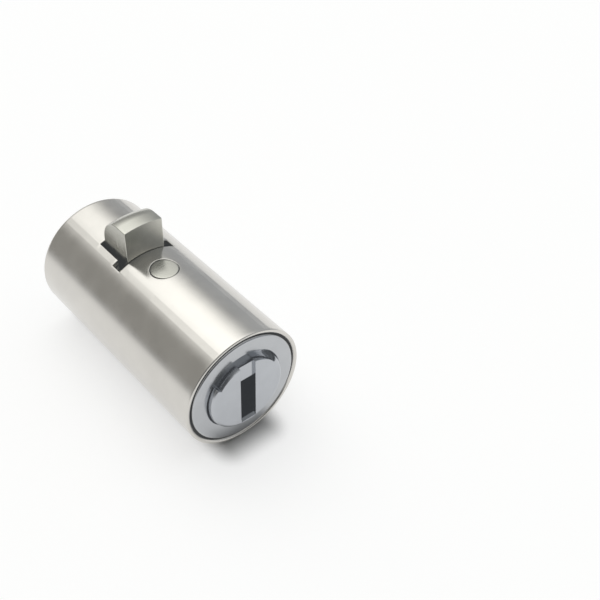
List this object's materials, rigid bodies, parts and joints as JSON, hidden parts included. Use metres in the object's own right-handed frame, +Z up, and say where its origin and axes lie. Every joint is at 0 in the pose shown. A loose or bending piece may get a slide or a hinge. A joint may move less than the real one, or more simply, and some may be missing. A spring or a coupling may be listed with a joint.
{
  "type": "plug lock cylinder",
  "caption": "Round sleeved lock cylinder with a dimple-key plug and a sprung tongue that the turning plug draws in.",
  "frame": {"origin": "centre of the flat rear face, on the lock axis", "axes": "+Y along the lock axis from the face to the rear, +Z up through the tongue, +X to the right of someone looking at the face"},
  "size_m": [0.019, 0.0385, 0.0239],
  "materials": {
    "sleeve_steel": "satin-polished steel with soft lengthwise bands",
    "body_plating": "satin nickel plating over brass",
    "plug_plating": "satin nickel plating over brass",
    "tongue_nickel": "warm polished nickel over steel",
    "pin_brass": "turned brass",
    "hard_steel": "turned hardened steel",
    "spring_steel": "drawn spring wire"
  },
  "bodies": {
    "housing": {"outer_sleeve": "sleeve_steel", "lock_body": "body_plating", "retaining_pin": "tongue_nickel", "anti_drill_pin_upper": "hard_steel", "anti_drill_pin_lower": "hard_steel", "end_cap": "body_plating", "end_cap_screw_left": "hard_steel", "end_cap_screw_right": "hard_steel", "driver_spring_right_1": "spring_steel", "driver_spring_right_2": "spring_steel", "driver_spring_right_3": "spring_steel", "driver_spring_right_4": "spring_steel", "driver_spring_left_1": "spring_steel", "driver_spring_left_2": "spring_steel", "driver_spring_left_3": "spring_steel", "tongue_spring_left": "spring_steel", "tongue_spring_right": "spring_steel"},
    "plug": {"plug": "plug_plating", "tail_cam": "hard_steel", "cam_pin": "hard_steel", "tail_screw": "hard_steel"},
    "tongue": {"tongue": "tongue_nickel"},
    "key_pin_right_1": {"key_pin_right_1": "pin_brass"},
    "driver_pin_right_1": {"driver_pin_right_1": "hard_steel"},
    "key_pin_right_2": {"key_pin_right_2": "pin_brass"},
    "driver_pin_right_2": {"driver_pin_right_2": "hard_steel"},
    "key_pin_right_3": {"key_pin_right_3": "pin_brass"},
    "driver_pin_right_3": {"driver_pin_right_3": "hard_steel"},
    "key_pin_right_4": {"key_pin_right_4": "pin_brass"},
    "driver_pin_right_4": {"driver_pin_right_4": "hard_steel"},
    "key_pin_left_1": {"key_pin_left_1": "pin_brass"},
    "driver_pin_left_1": {"driver_pin_left_1": "hard_steel"},
    "key_pin_left_2": {"key_pin_left_2": "pin_brass"},
    "driver_pin_left_2": {"driver_pin_left_2": "hard_steel"},
    "key_pin_left_3": {"key_pin_left_3": "pin_brass"},
    "driver_pin_left_3": {"driver_pin_left_3": "hard_steel"}
  },
  "joints": [
    {"name": "plug_turn", "type": "hinge", "parent": "housing", "child": "plug", "pos_m": [0, 0, 0], "axis": [0, 1, 0], "range_deg": [0, 90], "stiffness_Nm_per_rad": 0.0025, "springref_deg": -57.3},
    {"name": "tongue_slide", "type": "slide", "parent": "housing", "child": "tongue", "axis": [0, 0, 1], "range_m": [-0.0051, 0], "deforming": ["tongue_spring_left", "tongue_spring_right"]},
    {"name": "driver_pin_right_1_slide", "type": "slide", "parent": "housing", "child": "driver_pin_right_1", "axis": [1, 0, 0], "range_m": [-0.0008, 0], "stiffness_N_per_m": 100, "deforming": ["driver_spring_right_1"]},
    {"name": "key_pin_right_1_slide", "type": "slide", "parent": "plug", "child": "key_pin_right_1", "axis": [1, 0, 0], "range_m": [-0.00081, 0]},
    {"name": "driver_pin_right_2_slide", "type": "slide", "parent": "housing", "child": "driver_pin_right_2", "axis": [1, 0, 0], "range_m": [-0.0008, 0], "stiffness_N_per_m": 100, "deforming": ["driver_spring_right_2"]},
    {"name": "key_pin_right_2_slide", "type": "slide", "parent": "plug", "child": "key_pin_right_2", "axis": [1, 0, 0], "range_m": [-0.00081, 0]},
    {"name": "driver_pin_right_3_slide", "type": "slide", "parent": "housing", "child": "driver_pin_right_3", "axis": [1, 0, 0], "range_m": [-0.0008, 0], "stiffness_N_per_m": 100, "deforming": ["driver_spring_right_3"]},
    {"name": "key_pin_right_3_slide", "type": "slide", "parent": "plug", "child": "key_pin_right_3", "axis": [1, 0, 0], "range_m": [-0.00081, 0]},
    {"name": "driver_pin_right_4_slide", "type": "slide", "parent": "housing", "child": "driver_pin_right_4", "axis": [1, 0, 0], "range_m": [-0.0008, 0], "stiffness_N_per_m": 100, "deforming": ["driver_spring_right_4"]},
    {"name": "key_pin_right_4_slide", "type": "slide", "parent": "plug", "child": "key_pin_right_4", "axis": [1, 0, 0], "range_m": [-0.00081, 0]},
    {"name": "driver_pin_left_1_slide", "type": "slide", "parent": "housing", "child": "driver_pin_left_1", "axis": [-1, 0, 0], "range_m": [-0.0008, 0], "stiffness_N_per_m": 100, "deforming": ["driver_spring_left_1"]},
    {"name": "key_pin_left_1_slide", "type": "slide", "parent": "plug", "child": "key_pin_left_1", "axis": [-1, 0, 0], "range_m": [-0.00081, 0]},
    {"name": "driver_pin_left_2_slide", "type": "slide", "parent": "housing", "child": "driver_pin_left_2", "axis": [-1, 0, 0], "range_m": [-0.0008, 0], "stiffness_N_per_m": 100, "deforming": ["driver_spring_left_2"]},
    {"name": "key_pin_left_2_slide", "type": "slide", "parent": "plug", "child": "key_pin_left_2", "axis": [-1, 0, 0], "range_m": [-0.00081, 0]},
    {"name": "driver_pin_left_3_slide", "type": "slide", "parent": "housing", "child": "driver_pin_left_3", "axis": [-1, 0, 0], "range_m": [-0.0008, 0], "stiffness_N_per_m": 100, "deforming": ["driver_spring_left_3"]},
    {"name": "key_pin_left_3_slide", "type": "slide", "parent": "plug", "child": "key_pin_left_3", "axis": [-1, 0, 0], "range_m": [-0.00081, 0]}
  ],
  "couplings": [
    {"joint": "tongue_slide", "follows": "plug_turn", "m_per_rad": -0.0031831},
    {"joint": "key_pin_right_1_slide", "follows": "driver_pin_right_1_slide", "ratio": 1},
    {"joint": "key_pin_right_2_slide", "follows": "driver_pin_right_2_slide", "ratio": 1},
    {"joint": "key_pin_right_3_slide", "follows": "driver_pin_right_3_slide", "ratio": 1},
    {"joint": "key_pin_right_4_slide", "follows": "driver_pin_right_4_slide", "ratio": 1},
    {"joint": "key_pin_left_1_slide", "follows": "driver_pin_left_1_slide", "ratio": 1},
    {"joint": "key_pin_left_2_slide", "follows": "driver_pin_left_2_slide", "ratio": 1},
    {"joint": "key_pin_left_3_slide", "follows": "driver_pin_left_3_slide", "ratio": 1}
  ]
}
